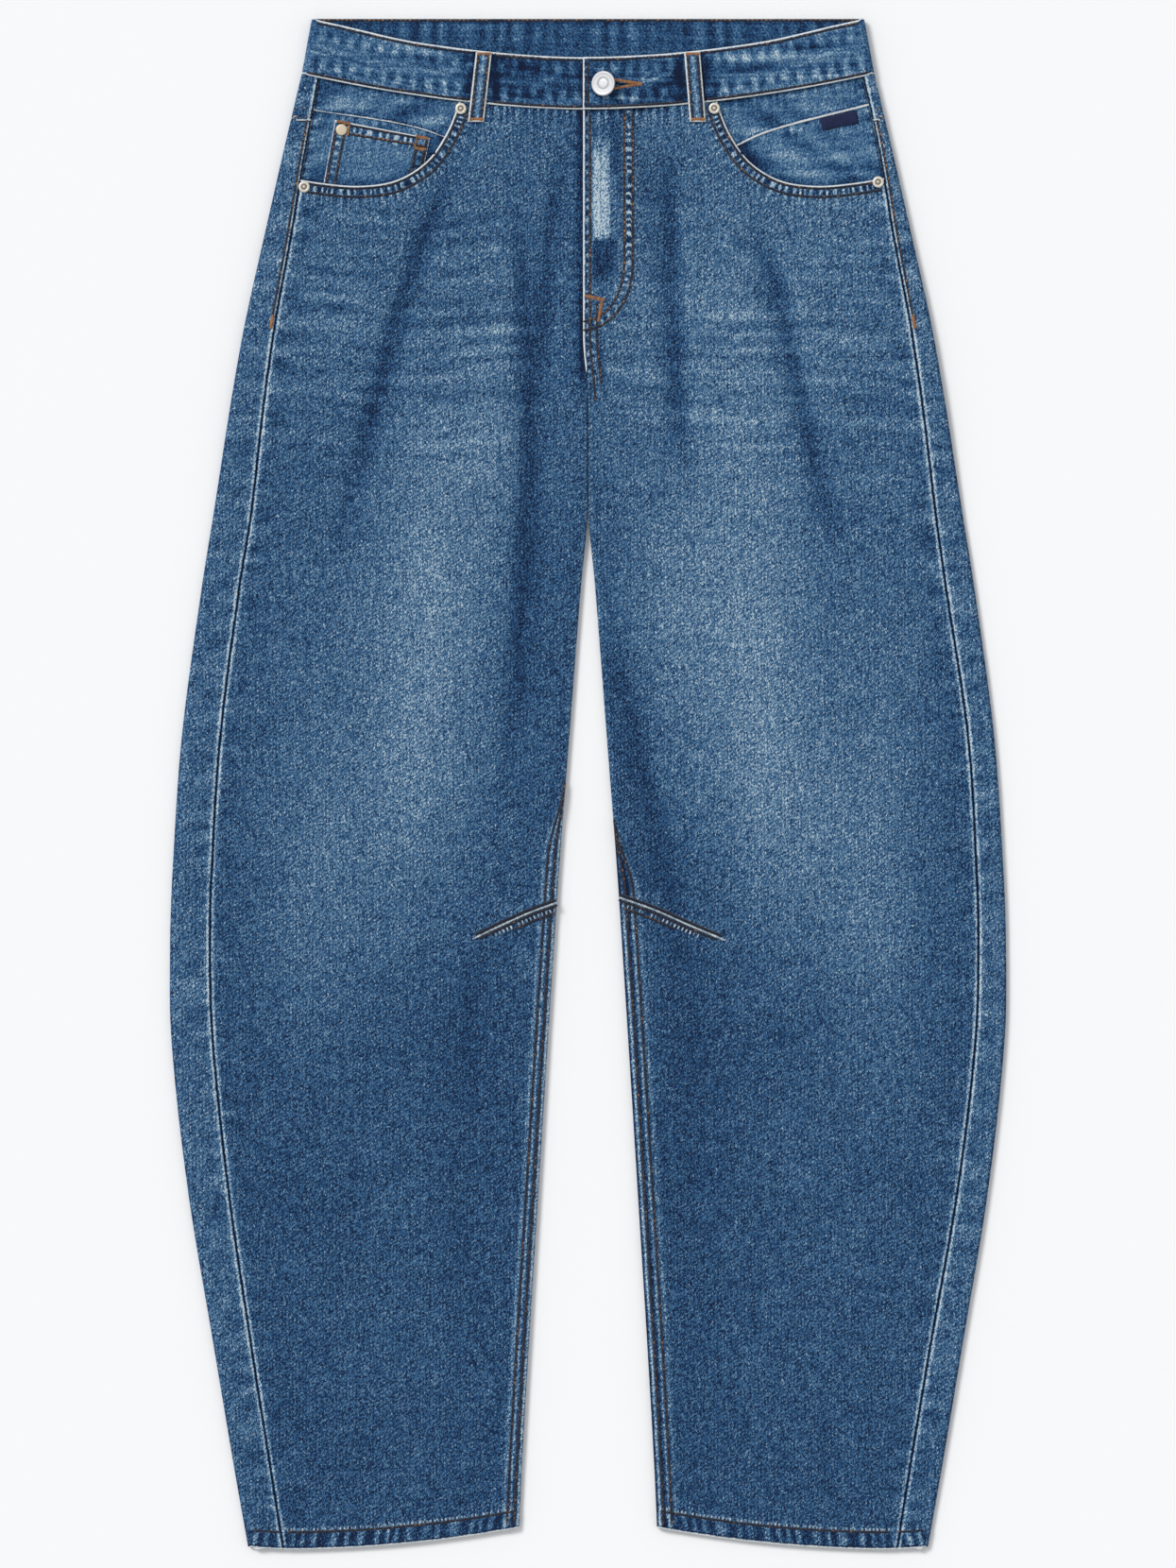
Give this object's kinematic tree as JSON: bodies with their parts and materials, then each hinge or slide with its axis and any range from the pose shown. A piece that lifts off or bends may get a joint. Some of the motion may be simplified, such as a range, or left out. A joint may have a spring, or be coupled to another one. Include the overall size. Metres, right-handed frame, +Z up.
{
  "type": "jeans",
  "caption": "Barrel-leg five-pocket denim jeans, buttoned and laid flat with the front up, underside flat.",
  "frame": {"origin": "middle of the garment's outline, on the surface that it lies on", "axes": "+Y towards the waist, +X towards the wearer's left leg, +Z up out of the front"},
  "size_m": [0.575, 1.053, 0.0184],
  "materials": {
    "denim": "washed blue twill",
    "denim_back": "washed blue twill",
    "denim_band": "washed blue twill, two layers",
    "woven_tab": "plain navy woven tape",
    "rivet_metal": "pale nickel, brassy centre",
    "button_metal": "satin nickel"
  },
  "bodies": {
    "root": {"right_front": "denim", "right_back": "denim_back", "right_yoke": "denim_back", "right_facing_upper": "denim", "right_facing_lower": "denim", "right_back_pocket": "denim_back", "left_front": "denim", "left_back": "denim_back", "left_yoke": "denim_back", "left_facing_upper": "denim", "left_facing_lower": "denim", "left_back_pocket": "denim_back", "coin_pocket": "denim", "waistband": "denim_band", "front_loop_right": "denim", "front_loop_left": "denim", "back_loop_right": "denim_back", "back_loop_centre": "denim_back", "back_loop_left": "denim_back", "pocket_tab": "woven_tab", "rivet_right_waist": "rivet_metal", "rivet_right_side": "rivet_metal", "rivet_left_waist": "rivet_metal", "rivet_left_side": "rivet_metal", "rivet_coin": "rivet_metal", "button": "button_metal"}
  },
  "joints": []
}
